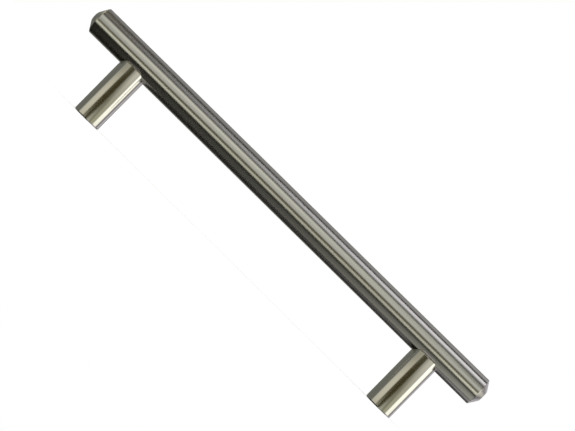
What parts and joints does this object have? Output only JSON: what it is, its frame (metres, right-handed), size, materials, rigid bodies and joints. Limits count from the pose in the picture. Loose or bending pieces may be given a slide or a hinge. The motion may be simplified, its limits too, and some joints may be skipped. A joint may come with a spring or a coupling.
{
  "type": "cabinet pull",
  "caption": "Round steel bar pull with coned ends on two round posts, tapped at the feet for screws through a door or drawer front.",
  "frame": {"origin": "on the mounting face, midway between the two mounting holes", "axes": "+X along the bar, +Z out of the door or drawer front, towards the bar"},
  "size_m": [0.1696, 0.01, 0.0302],
  "materials": {
    "bar": "fine lengthwise satin brush",
    "posts": "fine satin brush along the post",
    "screws": "plain bright steel"
  },
  "bodies": {
    "root": {"bar": "bar", "post_left": "posts", "post_right": "posts", "joining_screw_left": "screws", "joining_screw_right": "screws"}
  },
  "joints": []
}
